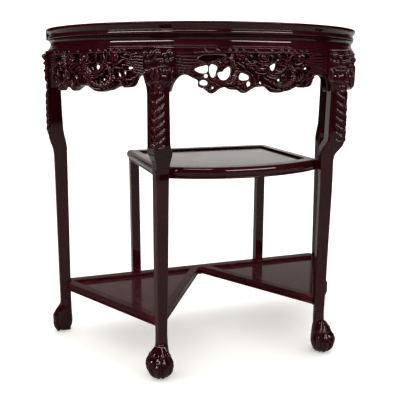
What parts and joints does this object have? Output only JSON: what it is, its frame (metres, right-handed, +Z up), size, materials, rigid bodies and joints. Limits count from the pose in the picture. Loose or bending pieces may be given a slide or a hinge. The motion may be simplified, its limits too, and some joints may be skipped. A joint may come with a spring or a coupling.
{
  "type": "half-moon side table",
  "caption": "Half-moon side table in dark lacquered carved wood with an inset marble top, pierced aprons, claw-footed legs, a bowed middle shelf and a bow-tie lower shelf.",
  "frame": {"origin": "on the floor under the middle of the bounding box", "axes": "+X to the table's right seen from the front, +Y to the straight back, +Z up"},
  "size_m": [0.852, 0.432, 0.8],
  "materials": {
    "lacquered_wood": "dark red-black gloss lacquer over carved hardwood",
    "polished_panel": "mirror-polished lacquered panel",
    "plain_wood": "unlacquered hidden hardwood",
    "marble": "polished pale marble with grey veins"
  },
  "bodies": {
    "root": {"top_frame_front": "lacquered_wood", "top_frame_left": "lacquered_wood", "top_frame_right": "lacquered_wood", "top_frame_back": "lacquered_wood", "waist_front": "lacquered_wood", "waist_left": "lacquered_wood", "waist_right": "lacquered_wood", "waist_back": "lacquered_wood", "apron_front": "lacquered_wood", "apron_left": "lacquered_wood", "apron_right": "lacquered_wood", "apron_back": "lacquered_wood", "shelf_front_rail": "lacquered_wood", "shelf_rail_left": "lacquered_wood", "shelf_rail_right": "lacquered_wood", "shelf_back_rail": "lacquered_wood", "lower_back_rail": "lacquered_wood", "lower_side_rail_left": "lacquered_wood", "lower_side_rail_right": "lacquered_wood", "lower_diagonal_rail_left": "lacquered_wood", "lower_diagonal_rail_right": "lacquered_wood", "shelf_post_left": "lacquered_wood", "shelf_post_right": "lacquered_wood", "leg_back_left": "lacquered_wood", "leg_front_left": "lacquered_wood", "leg_front_right": "lacquered_wood", "leg_back_right": "lacquered_wood", "top_batten_left": "plain_wood", "top_batten_right": "plain_wood", "shelf_batten": "plain_wood", "lower_batten_left": "plain_wood", "lower_batten_right": "plain_wood", "apron_key_front_left": "plain_wood", "apron_key_front_right": "plain_wood", "apron_key_left": "plain_wood", "apron_key_right": "plain_wood", "shelf_panel": "polished_panel", "lower_panel_left": "polished_panel", "lower_panel_right": "polished_panel", "marble_slab": "marble"}
  },
  "joints": []
}
